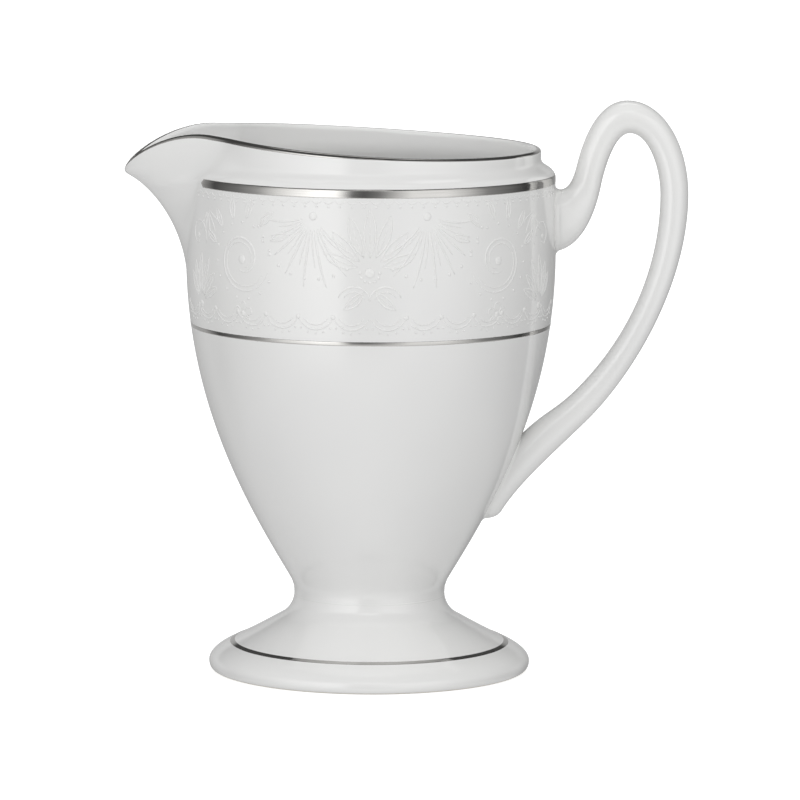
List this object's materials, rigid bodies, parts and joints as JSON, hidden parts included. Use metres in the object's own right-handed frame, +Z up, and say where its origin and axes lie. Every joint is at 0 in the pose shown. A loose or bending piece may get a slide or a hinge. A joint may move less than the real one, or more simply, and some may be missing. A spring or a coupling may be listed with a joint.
{
  "type": "cream jug",
  "caption": "Footed white bone-china cream jug with a beaked spout, a high looped handle, platinum lines and raised white lace decoration.",
  "frame": {"origin": "centre of the foot's ground ring, on the table", "axes": "+Z up, the spout points to -X, the handle to +X, Y across"},
  "size_m": [0.1246, 0.0826, 0.127],
  "materials": {
    "glazed_china": "glossy clear glaze over white bone china",
    "fired_slip": "fired slip under glaze",
    "platinum": "bright fired platinum lustre",
    "white_enamel": "raised satin white enamel"
  },
  "bodies": {
    "root": {"bowl": "glazed_china", "spout": "glazed_china", "foot": "glazed_china", "handle": "glazed_china", "foot_joint": "fired_slip", "spout_joint": "fired_slip", "handle_upper_joint": "fired_slip", "handle_lower_joint": "fired_slip", "rim_line": "platinum", "shoulder_band": "platinum", "body_line": "platinum", "foot_line": "platinum", "relief_front": "white_enamel", "relief_back": "white_enamel"}
  },
  "joints": []
}
